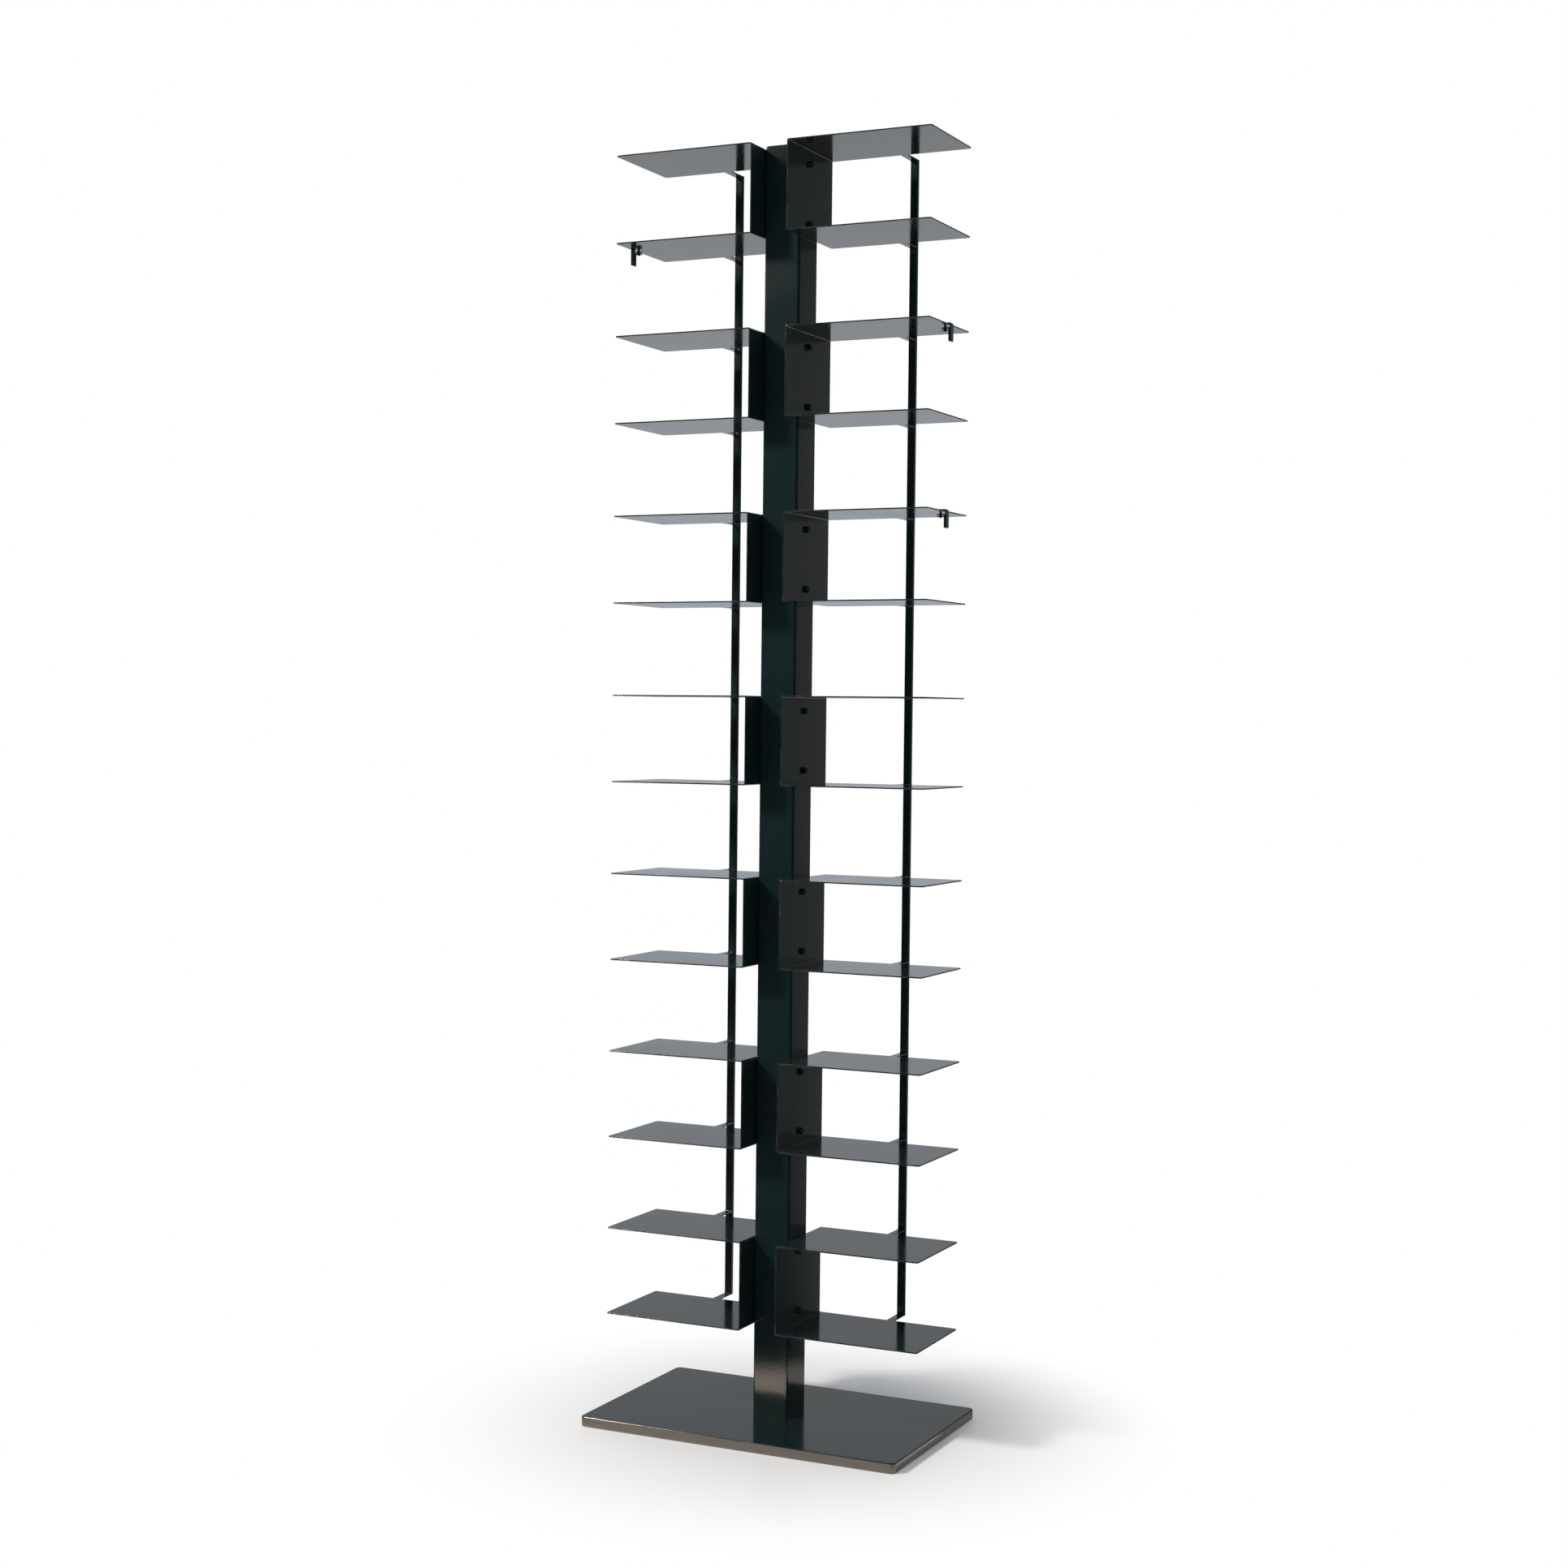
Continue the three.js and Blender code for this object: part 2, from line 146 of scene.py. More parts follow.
world = bpy.data.worlds.new("white_cove")
scene.world = world
world.use_nodes = True
tree = world.node_tree
tree.nodes.clear()
ray = add_node(tree, "ShaderNodeLightPath")
heading = add_node(tree, "ShaderNodeTexCoord")
seen = add_node(
    tree, "ShaderNodeMath", links={0: ray.outputs["Is Camera Ray"], 1: ray.outputs["Is Glossy Ray"]},
    operation="ADD",
)
seen = add_node(
    tree, "ShaderNodeMath", links={0: seen.outputs[0], 1: ray.outputs["Is Transmission Ray"]},
    operation="ADD", use_clamp=True,
)
glow = add_node(
    tree, "ShaderNodeMix", {MIX_A: FILL_LIGHT},
    {
        0: seen.outputs[0],
        MIX_B: room_colour(tree, heading.outputs["Generated"], ray.outputs["Is Glossy Ray"]),
    },
    data_type="RGBA",
)
sky = add_node(tree, "ShaderNodeBackground", {"Strength": 1.0}, {"Color": glow.outputs[MIX_RESULT]})
add_node(tree, "ShaderNodeOutputWorld", links={"Surface": sky.outputs[0]})

# The floor is a satin white paint that keeps the shadow near the tower. Further out it fades to the
# cove, over a long way for the camera and just beyond the base plate for mirrored rays
FLOOR_PAINT = colour("#efefef")
FLOOR_ROUGHNESS = 0.3
FLOOR_IOR = 1.45
FLOOR_HALF = 30.0
FLOOR_CORNERS = ((-1, -1), (1, -1), (1, 1), (-1, 1))
FADE_START = 0.2
FADE_END = 0.62
MIRRORED_FADE_START = 0.3
MIRRORED_FADE_END = 0.42
floor_mesh = bpy.data.meshes.new("cove_floor")
floor_mesh.from_pydata([(x * FLOOR_HALF, y * FLOOR_HALF, 0) for x, y in FLOOR_CORNERS], [], [(0, 1, 2, 3)])
floor = bpy.data.objects.new("cove_floor", floor_mesh)
scene.collection.objects.link(floor)
floor_paint = bpy.data.materials.new("satin_white_cove_paint")
floor_paint.use_nodes = True
tree = floor_paint.node_tree
tree.nodes.clear()
place = add_node(tree, "ShaderNodeNewGeometry")
reach = add_node(tree, "ShaderNodeVectorMath", links={0: place.outputs["Position"]}, operation="LENGTH")
fade = add_node(
    tree, "ShaderNodeMapRange", {"From Min": FADE_START, "From Max": FADE_END},
    {"Value": reach.outputs["Value"]}, interpolation_type="SMOOTHSTEP",
)
mirrored_fade = add_node(
    tree, "ShaderNodeMapRange", {"From Min": MIRRORED_FADE_START, "From Max": MIRRORED_FADE_END},
    {"Value": reach.outputs["Value"]}, interpolation_type="SMOOTHSTEP",
)
ray = add_node(tree, "ShaderNodeLightPath")
camera_share = add_node(
    tree, "ShaderNodeMath", links={0: fade.outputs[0], 1: ray.outputs["Is Camera Ray"]},
    operation="MULTIPLY",
)
share = add_node(
    tree, "ShaderNodeMath",
    links={0: mirrored_fade.outputs[0], 1: ray.outputs["Is Glossy Ray"], 2: camera_share.outputs[0]},
    operation="MULTIPLY_ADD", use_clamp=True,
)
paint = add_node(
    tree, "ShaderNodeBsdfPrincipled",
    {"Base Color": FLOOR_PAINT, "Roughness": FLOOR_ROUGHNESS, "IOR": FLOOR_IOR},
)
white = add_node(
    tree, "ShaderNodeEmission", {"Strength": 1.0},
    {"Color": room_colour(tree, place.outputs["Position"], ray.outputs["Is Glossy Ray"])},
)
mix = add_node(
    tree, "ShaderNodeMixShader", links={0: share.outputs[0], 1: paint.outputs[0], 2: white.outputs[0]},
)
add_node(tree, "ShaderNodeOutputMaterial", links={"Surface": mix.outputs[0]})
floor_mesh.materials.append(floor_paint)

KEY_PLACE = Vector((-4.4, -4.25, 5.1))
KEY_TARGET = Vector((0, 0, 0.8))
KEY_SIZE = 1.1
KEY_POWER = 600
KEY_WARMTH = colour("#fffaf5")[:3]
key_lamp = bpy.data.lights.new("key_softbox", "AREA")
key_lamp.size = KEY_SIZE
key_lamp.energy = KEY_POWER
key_lamp.color = KEY_WARMTH
key_softbox = bpy.data.objects.new("key_softbox", key_lamp)
key_softbox.location = KEY_PLACE
key_softbox.rotation_euler = (KEY_TARGET - KEY_PLACE).to_track_quat("-Z", "Y").to_euler()
scene.collection.objects.link(key_softbox)


# Glide pads: moulded black rubber discs, pressed into pockets under the corners of the base plate
# and standing half a millimetre proud of it; they have a matt skin, dusty where it is handled
STEPS_ROUND = 48
WELD = 0.001 * MM
CREASE = math.radians(32)
PAD_EDGE = 0.25 * MM
RUBBER_BLACK = colour("#131415")
RUBBER_DUSTY = colour("#232423")
RUBBER_GRAIN = 0.8 * MM
RUBBER_RELIEF = 0.05 * MM
RUBBER_RELIEF_SHARE = 0.4
RUBBER_ROUGHNESS = 0.8
RUBBER_IOR = 1.52
node_body = {}
for body, members in frame["record"]["behaviour"]["bodies"].items():
    for node in members:
        node_body[node] = body


def add_skin(mesh, rings):
    """Closed skin over rings of points that follow each other, with a flat face at both ends"""
    loops = [[mesh.verts.new(point) for point in ring] for ring in rings]
    sides = len(loops[0])
    skin = []
    for lower, upper in zip(loops, loops[1:]):
        for i in range(sides):
            j = (i + 1) % sides
            skin.append(mesh.faces.new((lower[i], lower[j], upper[j], upper[i])))
    skin.append(mesh.faces.new(list(reversed(loops[0]))))
    skin.append(mesh.faces.new(loops[-1]))
    bmesh.ops.recalc_face_normals(mesh, faces=skin)


def turned_mesh(profile, matrix):
    """Mesh turned about Z from rings of radius and height, then moved; a third value means a hexagon"""
    mesh = bmesh.new()
    rings = []
    for radius, height, *hexagon in profile:
        ring = []
        for step in range(STEPS_ROUND):
            angle = 2 * math.pi * step / STEPS_ROUND
            reach = radius
            if hexagon:
                reach = radius / math.cos((angle + math.pi / 6) % (math.pi / 3) - math.pi / 6)
            ring.append(matrix @ Vector((reach * math.cos(angle), reach * math.sin(angle), height)))
        rings.append(ring)
    add_skin(mesh, rings)
    return mesh


def dress(mesh, name, node, material, stands_for=True):
    """Object of a mesh that rides where a frame node rides and, unless told otherwise, stands for it"""
    data = bpy.data.meshes.new(name)
    mesh.to_mesh(data)
    mesh.free()
    data.shade_smooth()
    data.set_sharp_from_angle(angle=CREASE)
    data.materials.append(material)
    piece = bpy.data.objects.new(name, data)
    scene.collection.objects.link(piece)
    normals = piece.modifiers.new("even_normals", "WEIGHTED_NORMAL")
    normals.keep_sharp = True
    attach(piece, node_body[node])
    if stands_for:
        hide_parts(node)


def rubber_skin():
    """Moulded nitrile rubber: black, dry and slightly dusty, with the fine grain of its mould"""
    material = bpy.data.materials.new("moulded_black_rubber")
    material.use_nodes = True
    tree = material.node_tree
    tree.nodes.clear()
    spot = add_node(tree, "ShaderNodeTexCoord")
    grain = add_node(
        tree, "ShaderNodeTexNoise", {"Scale": 1 / RUBBER_GRAIN}, {"Vector": spot.outputs["Object"]},
    )
    tint = add_node(
        tree, "ShaderNodeMix", {MIX_A: RUBBER_BLACK, MIX_B: RUBBER_DUSTY},
        {0: grain.outputs[0]}, data_type="RGBA",
    )
    relief = add_node(
        tree, "ShaderNodeBump", {"Strength": RUBBER_RELIEF_SHARE, "Distance": RUBBER_RELIEF},
        {"Height": grain.outputs[0]},
    )
    skin = add_node(
        tree, "ShaderNodeBsdfPrincipled", {"Roughness": RUBBER_ROUGHNESS, "IOR": RUBBER_IOR},
        {"Base Color": tint.outputs[MIX_RESULT], "Normal": relief.outputs[0]},
    )
    add_node(tree, "ShaderNodeOutputMaterial", links={"Surface": skin.outputs[0]})
    return material


rubber = rubber_skin()
for corner in ("front_left", "front_right", "rear_left", "rear_right"):
    low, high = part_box(f"glide_pad_{corner}")
    radius = (high.x - low.x) / 2
    height = high.z - low.z
    profile = [
        (radius - PAD_EDGE, 0),
        (radius, PAD_EDGE),
        (radius, height - PAD_EDGE),
        (radius - PAD_EDGE, height),
    ]
    middle = Matrix.Translation(((low.x + high.x) / 2, (low.y + high.y) / 2, low.z))
    pad = turned_mesh(profile, middle)
    dress(pad, f"rubber_pad_{corner}", f"glide_pad_{corner}", rubber)


# Base plate: fifteen-millimetre mild steel, flame-cut, ground and rounded along its rims, with pockets
# for the pads and countersinks for the screws below; its weight keeps the tower upright, and it has
# the same black powder coat as the rest
BASE_ROUNDING = 0.4 * MM
ROUNDING_STEPS = 3
ROUND_PROFILE = 0.5
FLAT_ANGLE = math.radians(0.5)
COAT_BLACK = colour("#0c1c1f")
COAT_FLECK = colour("#142629")
# Lighter edge colour: partly a thinner, worn coat and partly a painted highlight along the edges
EDGE_WEAR_AND_HIGHLIGHT_TINT = colour("#55504a")
COAT_SHEEN = colour("#ffe8d3")
PEEL_WIDTH = 5.0 * MM
PEEL_HEIGHT = 0.045 * MM
PEEL_DETAIL = 1.0
PIGMENT_WIDTH = 1.2 * MM
PIGMENT_DETAIL = 2.0
HANDLING_WIDTH = 110 * MM
HANDLING_DETAIL = 4.0
EDGE_WEAR_AND_HIGHLIGHT_LENGTH = 18 * MM
EDGE_WEAR_AND_HIGHLIGHT_DETAIL = 4.0
EDGE_WEAR_AND_HIGHLIGHT_FROM = 0.45
EDGE_WEAR_AND_HIGHLIGHT_FULL = 0.65
NOISE_LOW = 0.3
NOISE_HIGH = 0.7
COAT_SMOOTHEST = 0.11
COAT_DULLEST = 0.17
PIGMENT_ROUGHNESS = 0.012
# The resin's IOR is 1.5; the pigment under it mirrors more, matched to the photograph at 2.5
PIGMENT_IOR = 2.5
RESIN_IOR = 1.5
RESIN_WEIGHT = 0.3
RESIN_ROUGHNESS = 0.08


def coated_steel():
    """Semi-gloss near-black powder coat with a fine pigment: neutral black seen square on, a warm grey
    sheen where light falls in, nearly a mirror at a flat angle; a faint orange peel, drawn coarser than
    the real one so that it shows; along the cut edges, in patches, a lighter colour that is partly a
    thinner coat and partly a painted highlight"""
    material = bpy.data.materials.new("semi_gloss_black_powder_coat")
    material.use_nodes = True
    tree = material.node_tree
    tree.nodes.clear()
    spot = add_node(tree, "ShaderNodeTexCoord").outputs["Object"]
    peel = add_node(
        tree, "ShaderNodeTexNoise", {"Scale": 1 / PEEL_WIDTH, "Detail": PEEL_DETAIL}, {"Vector": spot},
    )
    pigment = add_node(
        tree, "ShaderNodeTexNoise", {"Scale": 1 / PIGMENT_WIDTH, "Detail": PIGMENT_DETAIL},
        {"Vector": spot},
    )
    handling = add_node(
        tree, "ShaderNodeTexNoise", {"Scale": 1 / HANDLING_WIDTH, "Detail": HANDLING_DETAIL},
        {"Vector": spot},
    )
    # Edge patches: where this noise is high, the rounded edge faces get the lighter colour, which is partly
    # a thinner coat and partly a painted highlight
    edge_patch_noise = add_node(
        tree, "ShaderNodeTexNoise", {"Scale": 1 / EDGE_WEAR_AND_HIGHLIGHT_LENGTH, "Detail": EDGE_WEAR_AND_HIGHLIGHT_DETAIL}, {"Vector": spot},
    )
    edge = add_node(tree, "ShaderNodeAttribute", attribute_name="edge")
    edge_patches = add_node(
        tree, "ShaderNodeMapRange", {"From Min": EDGE_WEAR_AND_HIGHLIGHT_FROM, "From Max": EDGE_WEAR_AND_HIGHLIGHT_FULL},
        {"Value": edge_patch_noise.outputs[0]},
    )
    edge_wear_and_highlight = add_node(
        tree, "ShaderNodeMath", links={0: edge.outputs["Fac"], 1: edge_patches.outputs[0]}, operation="MULTIPLY",
    )
    flecks = add_node(
        tree, "ShaderNodeMix", {MIX_A: COAT_BLACK, MIX_B: COAT_FLECK},
        {0: pigment.outputs[0]}, data_type="RGBA",
    )
    tint = add_node(
        tree, "ShaderNodeMix", {MIX_B: EDGE_WEAR_AND_HIGHLIGHT_TINT},
        {0: edge_wear_and_highlight.outputs[0], MIX_A: flecks.outputs[MIX_RESULT]}, data_type="RGBA",
    )
    soft = add_node(
        tree, "ShaderNodeMapRange",
        {"From Min": NOISE_LOW, "From Max": NOISE_HIGH, "To Min": COAT_SMOOTHEST, "To Max": COAT_DULLEST},
        {"Value": handling.outputs[0]},
    )
    grain = add_node(
        tree, "ShaderNodeMapRange",
        {
            "From Min": NOISE_LOW,
            "From Max": NOISE_HIGH,
            "To Min": -PIGMENT_ROUGHNESS,
            "To Max": PIGMENT_ROUGHNESS,
        },
        {"Value": pigment.outputs[0]},
    )
    gloss = add_node(
        tree, "ShaderNodeMath", links={0: soft.outputs[0], 1: grain.outputs[0]}, operation="ADD",
    )
    relief = add_node(
        tree, "ShaderNodeBump", {"Strength": 1.0, "Distance": PEEL_HEIGHT}, {"Height": peel.outputs[0]},
    )
    skin = add_node(
        tree, "ShaderNodeBsdfPrincipled",
        {
            "IOR": PIGMENT_IOR,
            "Specular Tint": COAT_SHEEN,
            "Coat Weight": RESIN_WEIGHT,
            "Coat Roughness": RESIN_ROUGHNESS,
            "Coat IOR": RESIN_IOR,
        },
        {"Base Color": tint.outputs[MIX_RESULT], "Roughness": gloss.outputs[0], "Normal": relief.outputs[0]},
    )
    add_node(tree, "ShaderNodeOutputMaterial", links={"Surface": skin.outputs[0]})
    return material


def edged_copy(node, rounding):
    """The node's mesh with its flat faces joined and its sharp edges rounded, marked as edge"""
    mesh = bmesh.new()
    mesh.from_mesh(nodes[node].data)
    bmesh.ops.remove_doubles(mesh, verts=mesh.verts, dist=WELD)
    bmesh.ops.dissolve_limit(mesh, angle_limit=FLAT_ANGLE, verts=mesh.verts, edges=mesh.edges)
    edge_share = mesh.faces.layers.float.new("edge")
    sharp = [edge for edge in mesh.edges if edge.is_manifold and edge.calc_face_angle() > CREASE]
    made = bmesh.ops.bevel(
        mesh, geom=sharp, offset=rounding, offset_type="OFFSET", segments=ROUNDING_STEPS,
        profile=ROUND_PROFILE, clamp_overlap=True, affect="EDGES",
    )
    for face in made["faces"]:
        face[edge_share] = 1.0
    return mesh


powder_coat = coated_steel()
dress(edged_copy("base_plate", BASE_ROUNDING), "steel_base_plate", "base_plate", powder_coat)

# Foot plate: a plug of thick flat bar, milled to the tube's bore, drilled and tapped for the four
# base screws, and welded into the tube's lower end before coating
FOOT_ROUNDING = 0.4 * MM
dress(
    edged_copy("spine_foot_plate", FOOT_ROUNDING), "tapped_foot_plate", "spine_foot_plate",
    powder_coat,
)

# Spine: rectangular steel tube with a three-millimetre wall, sawn square and drilled through both
# sides for the box bolts; its ends and holes are only deburred before coating
TUBE_DEBURR = 0.25 * MM
dress(edged_copy("spine_tube", TUBE_DEBURR), "drilled_spine_tube", "spine_tube", powder_coat)


# Base screws: four machine screws with countersunk heads and hexagon sockets, driven up through the base
# plate into the foot plate; turned steel under a thin black oxide, rubbed through in faint spots
BASE_SCREWS = 4
BASE_SOCKET_HALF = 2.5 * MM
BASE_SOCKET_DEPTH = 3.5 * MM
BASE_HEAD_RADIUS = 8 * MM
BASE_HEAD_LAND = 0.6 * MM
BASE_SHANK_RADIUS = 4 * MM
BASE_END_CHAMFER = 0.5 * MM
OXIDE_BLACK = colour("#1b1c1e")
OXIDE_RUBBED = colour("#3a3b3c")
OXIDE_METALLIC = 0.9
OXIDE_SMOOTHEST = 0.3
OXIDE_DULLEST = 0.5
TURNING_WIDTH = 0.7 * MM
TURNING_HEIGHT = 0.02 * MM
TURNING_SHARE = 0.15


def oxide_steel():
    """Black oxide on machined steel: dark and faintly metallic, with turning marks and rubbed spots,
    both drawn wider than the real ones so that they show"""
    material = bpy.data.materials.new("black_oxide_machined_steel")
    material.use_nodes = True
    tree = material.node_tree
    tree.nodes.clear()
    spot = add_node(tree, "ShaderNodeTexCoord")
    marks = add_node(
        tree, "ShaderNodeTexNoise", {"Scale": 1 / TURNING_WIDTH}, {"Vector": spot.outputs["Object"]},
    )
    tint = add_node(
        tree, "ShaderNodeMix", {MIX_A: OXIDE_BLACK, MIX_B: OXIDE_RUBBED}, {0: marks.outputs[0]},
        data_type="RGBA",
    )
    gloss = add_node(
        tree, "ShaderNodeMapRange",
        {"From Min": NOISE_LOW, "From Max": NOISE_HIGH, "To Min": OXIDE_SMOOTHEST, "To Max": OXIDE_DULLEST},
        {"Value": marks.outputs[0]},
    )
    relief = add_node(
        tree, "ShaderNodeBump", {"Strength": TURNING_SHARE, "Distance": TURNING_HEIGHT},
        {"Height": marks.outputs[0]},
    )
    skin = add_node(
        tree, "ShaderNodeBsdfPrincipled", {"Metallic": OXIDE_METALLIC},
        {"Base Color": tint.outputs[MIX_RESULT], "Roughness": gloss.outputs[0], "Normal": relief.outputs[0]},
    )
    add_node(tree, "ShaderNodeOutputMaterial", links={"Surface": skin.outputs[0]})
    return material


black_oxide = oxide_steel()
for index in range(1, BASE_SCREWS + 1):
    low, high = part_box(f"base_screw_{index}")
    tall = high.z - low.z
    profile = [
        (BASE_SOCKET_HALF, BASE_SOCKET_DEPTH, True),
        (BASE_SOCKET_HALF, 0, True),
        (BASE_HEAD_RADIUS, 0),
        (BASE_HEAD_RADIUS, BASE_HEAD_LAND),
        (BASE_SHANK_RADIUS, BASE_HEAD_LAND + BASE_HEAD_RADIUS - BASE_SHANK_RADIUS),
        (BASE_SHANK_RADIUS, tall - BASE_END_CHAMFER),
        (BASE_SHANK_RADIUS - BASE_END_CHAMFER, tall),
    ]
    middle = Matrix.Translation(((low.x + high.x) / 2, (low.y + high.y) / 2, low.z))
    screw = turned_mesh(profile, middle)
    dress(
        screw, f"countersunk_base_screw_{index}", f"base_screw_{index}", black_oxide,
    )

# Shelf boxes: two-millimetre sheet steel, laser-cut, folded twice on a press brake into a wall with
# two plates, and coated; each plate has a tongue to the rear, and the right walls have weld nuts
BOXES_PER_SIDE = 7
SHEET_THICKNESS = 2 * MM
SHEET_ROUNDING = 0.4 * MM
for side in ("left", "right"):
    for index in range(1, BOXES_PER_SIDE + 1):
        node = f"shelf_box_{side}_{index}"
        dress(edged_copy(node, SHEET_ROUNDING), f"folded_{node}", node, powder_coat)

# Rear bars: rolled flat bar, upright across the ends of the tongues, fillet-welded above and below
# each tongue before coating; the beads keep the ripple of the arc
BAR_ROUNDING = 0.3 * MM
BEAD_LEG = 2 * MM
BEAD_FLATNESS = 1.6
BEAD_INSET = 0.7 * MM
BEAD_ROOT = 0.2 * MM
BEAD_RIPPLE = 0.8 * MM
BEAD_RIPPLE_SHARE = 0.12
BEAD_END_SHARE = 0.55
BEAD_STEPS = 60
BEAD_SIDES = 6


def add_bead(mesh, start, end, seat, face, outward):
    """Fillet bead along X, between a tongue's face, which looks up or down, and the bar's front"""
    rings = []
    for step in range(BEAD_STEPS + 1):
        along = start + (end - start) * step / BEAD_STEPS
        ripple = abs(math.sin(math.pi * (along - start) / BEAD_RIPPLE))
        leg = BEAD_LEG * (1 - BEAD_RIPPLE_SHARE * ripple)
        if step in (0, BEAD_STEPS):
            leg = BEAD_LEG * BEAD_END_SHARE
        ring = [Vector((along, seat + BEAD_ROOT, face - outward * BEAD_ROOT))]
        for side in range(BEAD_SIDES + 1):
            angle = math.pi / 2 * side / BEAD_SIDES
            forward = leg * math.cos(angle) ** BEAD_FLATNESS
            up = leg * math.sin(angle) ** BEAD_FLATNESS
            ring.append(Vector((along, seat - forward, face + outward * up)))
        rings.append(ring)
    add_skin(mesh, rings)


for side in ("left", "right"):
    node = f"{side}_rear_bar"
    dress(edged_copy(node, BAR_ROUNDING), f"flat_{node}", node, powder_coat)
    bar_low, bar_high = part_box(node)
    beads = bmesh.new()
    for index in range(1, BOXES_PER_SIDE + 1):
        low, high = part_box(f"shelf_box_{side}_{index}")
        faces = ((high.z, 1), (high.z - SHEET_THICKNESS, -1), (low.z + SHEET_THICKNESS, 1), (low.z, -1))
        for face, outward in faces:
            if bar_low.z < face + outward * BEAD_LEG < bar_high.z:
                add_bead(beads, bar_low.x + BEAD_INSET, bar_high.x - BEAD_INSET, bar_low.y, face, outward)
    dress(beads, f"{side}_bar_weld_beads", node, powder_coat, stands_for=False)

# Box bolts: button-head bolts with hexagon sockets, two to a pair of boxes, put in from the left
# through both walls and the spine into the weld nuts; black oxide like the base screws
BOLT_RADIUS = 3 * MM
BOLT_HEAD_RADIUS = 5.25 * MM
BOLT_HEAD_HEIGHT = 3.3 * MM
BOLT_CROWN_RADIUS = 3 * MM
BOLT_END_CHAMFER = 0.5 * MM
BOLT_SOCKET_HALF = 2 * MM
BOLT_SOCKET_DEPTH = 1.9 * MM
DOME_STEPS = 6
DOME_SWEEP = math.radians(72)
dome = []
for step in range(DOME_STEPS + 1):
    angle = DOME_SWEEP * (1 - step / DOME_STEPS)
    inward = (1 - math.cos(angle)) / (1 - math.cos(DOME_SWEEP))
    down = 1 - math.sin(angle) / math.sin(DOME_SWEEP)
    radius = BOLT_HEAD_RADIUS - (BOLT_HEAD_RADIUS - BOLT_CROWN_RADIUS) * inward
    dome.append((radius, BOLT_HEAD_HEIGHT * down))
for index in range(1, BOXES_PER_SIDE + 1):
    for row in ("lower", "upper"):
        node = f"box_bolt_{index}_{row}"
        low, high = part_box(node)
        long = high.x - low.x
        profile = [
            (BOLT_SOCKET_HALF, BOLT_SOCKET_DEPTH, True),
            (BOLT_SOCKET_HALF, 0, True),
            *dome,
            (BOLT_RADIUS, BOLT_HEAD_HEIGHT),
            (BOLT_RADIUS, long - BOLT_END_CHAMFER),
            (BOLT_RADIUS - BOLT_END_CHAMFER, long),
        ]
        middle = Matrix.Translation((low.x, (low.y + high.y) / 2, (low.z + high.z) / 2))
        bolt = turned_mesh(profile, middle @ Matrix.Rotation(math.pi / 2, 4, "Y"))
        dress(bolt, f"button_head_{node}", node, black_oxide)

# Spine cap: a pressed steel lid with a rounded upper rim, coated, and held by the boss on its
# underside, which is a push fit in the tube
CAP_ROUNDING = 0.25 * MM
dress(edged_copy("spine_cap", CAP_ROUNDING), "pressed_spine_cap", "spine_cap", powder_coat)

# Clips: ten-millimetre strip steel, folded into a hook over the outer edge of a plate, hemmed at
# the bottom of its leg and led back under the plate as an arm; coated like the rest
STRIP_ROUNDING = 0.3 * MM
CLIPS = ("left", "right_upper", "right_lower")
for name in CLIPS:
    node = f"clip_{name}"
    dress(edged_copy(node, STRIP_ROUNDING), f"folded_{node}", node, powder_coat)

# Thumb screws: small clamp screws, a turned and threaded shank with a hub and two drooping wings
# for the fingers, screwed up through the clip's arm against the plate; black oxide
THREAD_RADIUS = 2 * MM
THREAD_PITCH = 0.7 * MM
THREAD_DEPTH = 0.35 * MM
TIP_CHAMFER = 0.6 * MM
HUB_RADIUS = 2.4 * MM
HUB_HEIGHT = 3 * MM
HUB_ROUNDING = 0.6 * MM
HUB_STEPS = 5
WING_REACH = 6.2 * MM
WING_WIDTH = 1.6 * MM
WING_RISE = 1.3 * MM
WING_DROOP = 1.2 * MM
WING_SEAT = 0.3 * MM
WING_TURN = math.pi / 8
WING_STEPS = 32
WING_SIDES = 24
TIP_ROUNDING = 1.0 * MM
TIP_END_SHARE = 0.35


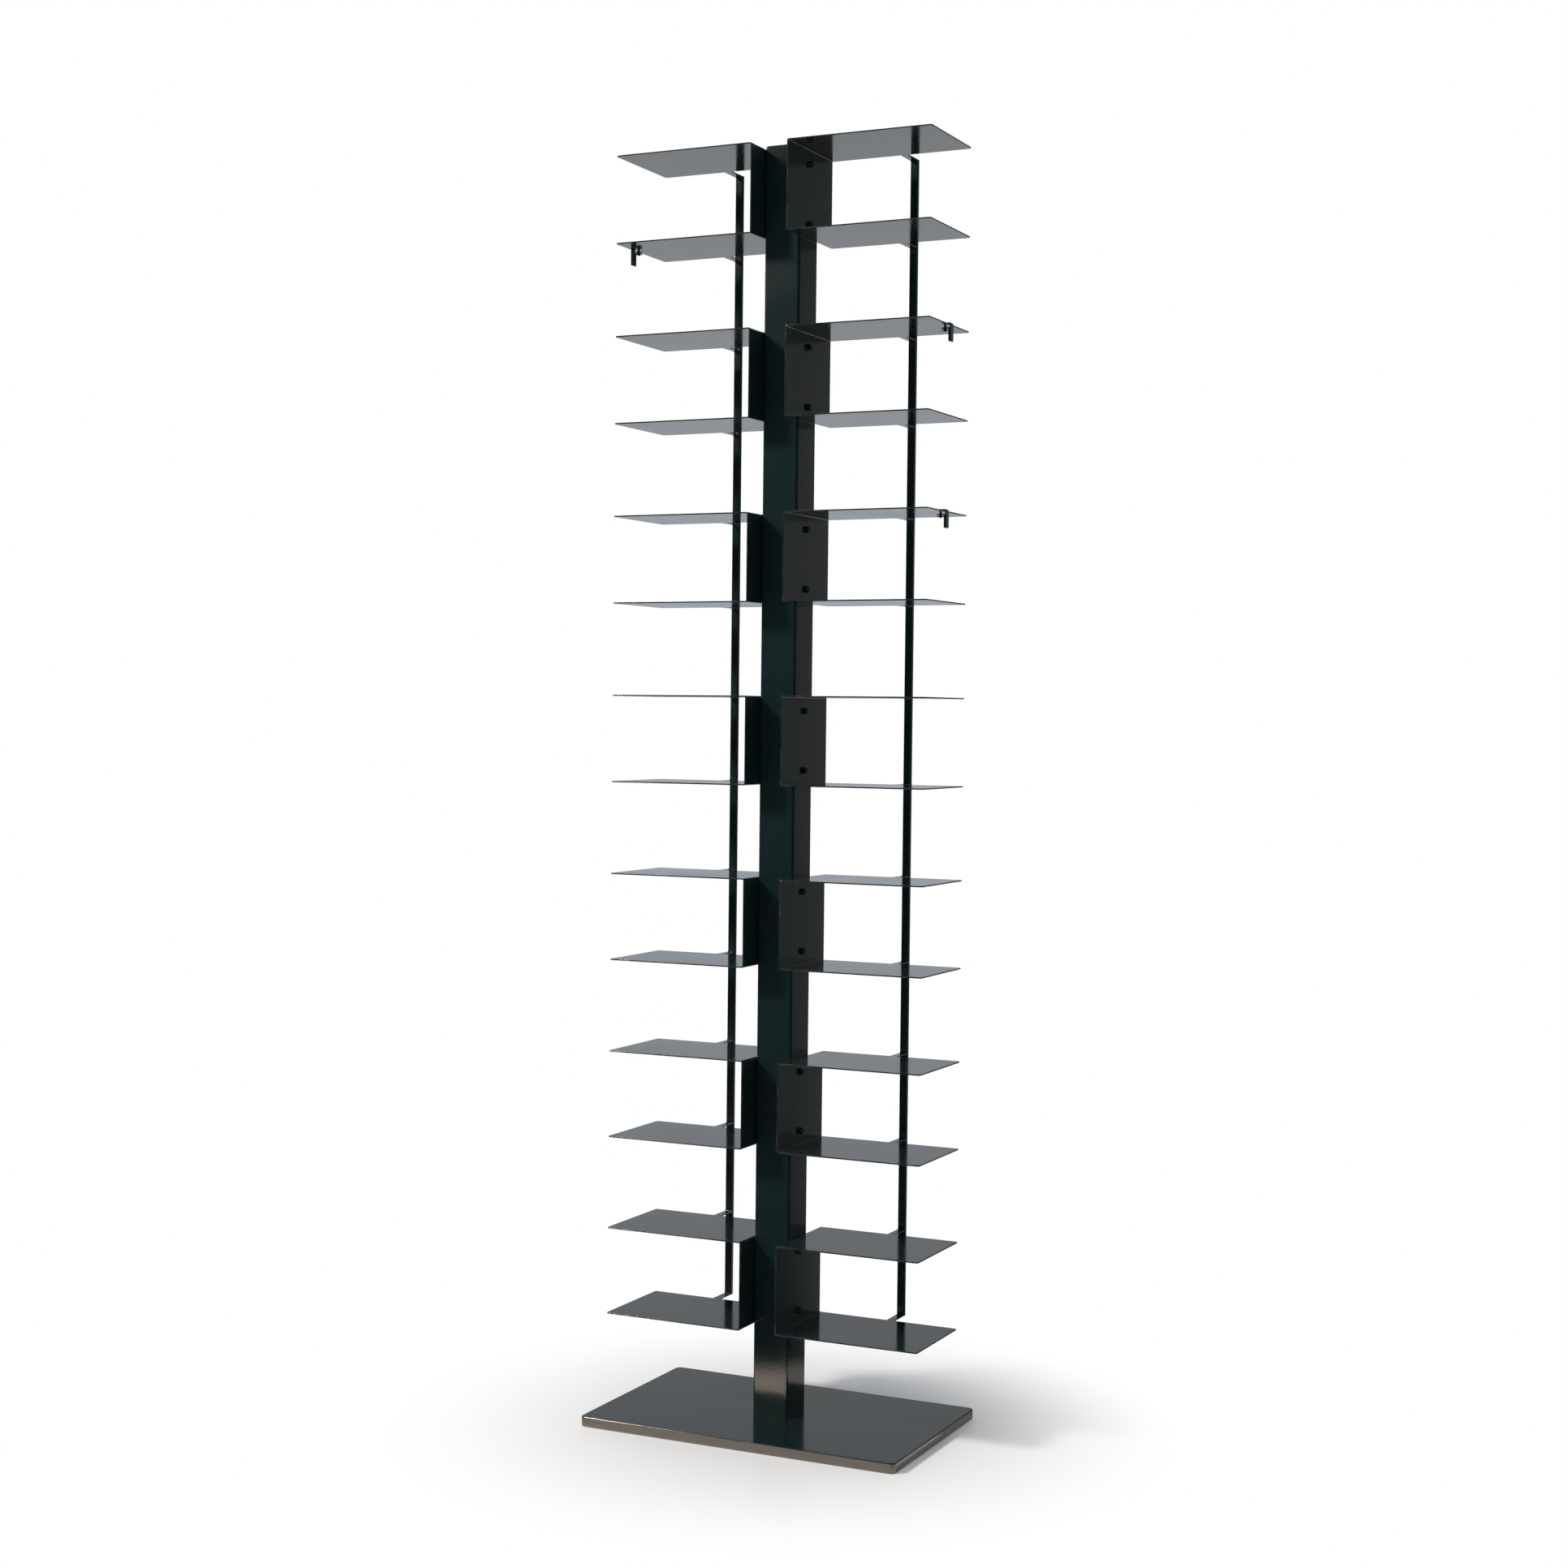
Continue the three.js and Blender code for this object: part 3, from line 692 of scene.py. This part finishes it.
def screw_profile(tall):
    """Rounded hub, then a shank whose thread is drawn as rings a pitch apart, then a chamfered tip"""
    profile = []
    for step in range(HUB_STEPS + 1):
        angle = math.pi / 2 * step / HUB_STEPS
        profile.append((
            HUB_RADIUS - HUB_ROUNDING * (1 - math.sin(angle)),
            HUB_ROUNDING * (1 - math.cos(angle)),
        ))
    profile.append((HUB_RADIUS, HUB_HEIGHT))
    height = HUB_HEIGHT
    while height + THREAD_PITCH < tall - TIP_CHAMFER:
        profile.append((THREAD_RADIUS - THREAD_DEPTH, height))
        profile.append((THREAD_RADIUS, height + THREAD_PITCH / 2))
        height += THREAD_PITCH
    profile.append((THREAD_RADIUS - THREAD_DEPTH, tall - TIP_CHAMFER))
    profile.append((THREAD_RADIUS - TIP_CHAMFER, tall))
    return profile


def add_wings(mesh, matrix):
    """Both wings as one bar through the hub, with softened flanks and rounded, drooping tips"""
    rings = []
    for step in range(WING_STEPS + 1):
        reach_share = math.sin(math.pi / 2 * (2 * step / WING_STEPS - 1))
        from_tip = WING_REACH * (1 - abs(reach_share))
        full = math.sqrt(1 - (1 - min(1, from_tip / TIP_ROUNDING)) ** 2)
        full = max(full, TIP_END_SHARE)
        middle_height = HUB_HEIGHT - WING_SEAT - WING_RISE / 2 - WING_DROOP * reach_share ** 2
        ring = []
        for side in range(WING_SIDES):
            angle = 2 * math.pi * (side + 0.5) / WING_SIDES
            across = math.copysign(math.sqrt(abs(math.cos(angle))), math.cos(angle)) * WING_WIDTH / 2
            up = math.copysign(math.sqrt(abs(math.sin(angle))), math.sin(angle)) * WING_RISE / 2
            point = Vector((WING_REACH * reach_share, full * across, middle_height + full * up))
            ring.append(matrix @ point)
        rings.append(ring)
    add_skin(mesh, rings)


for name in CLIPS:
    node = f"thumb_screw_{name}"
    low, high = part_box(node)
    middle = Matrix.Translation(((low.x + high.x) / 2, (low.y + high.y) / 2, low.z))
    screw = turned_mesh(screw_profile(high.z - low.z), middle)
    add_wings(screw, middle @ Matrix.Rotation(WING_TURN, 4, "Z"))
    dress(screw, f"winged_{node}", node, black_oxide)
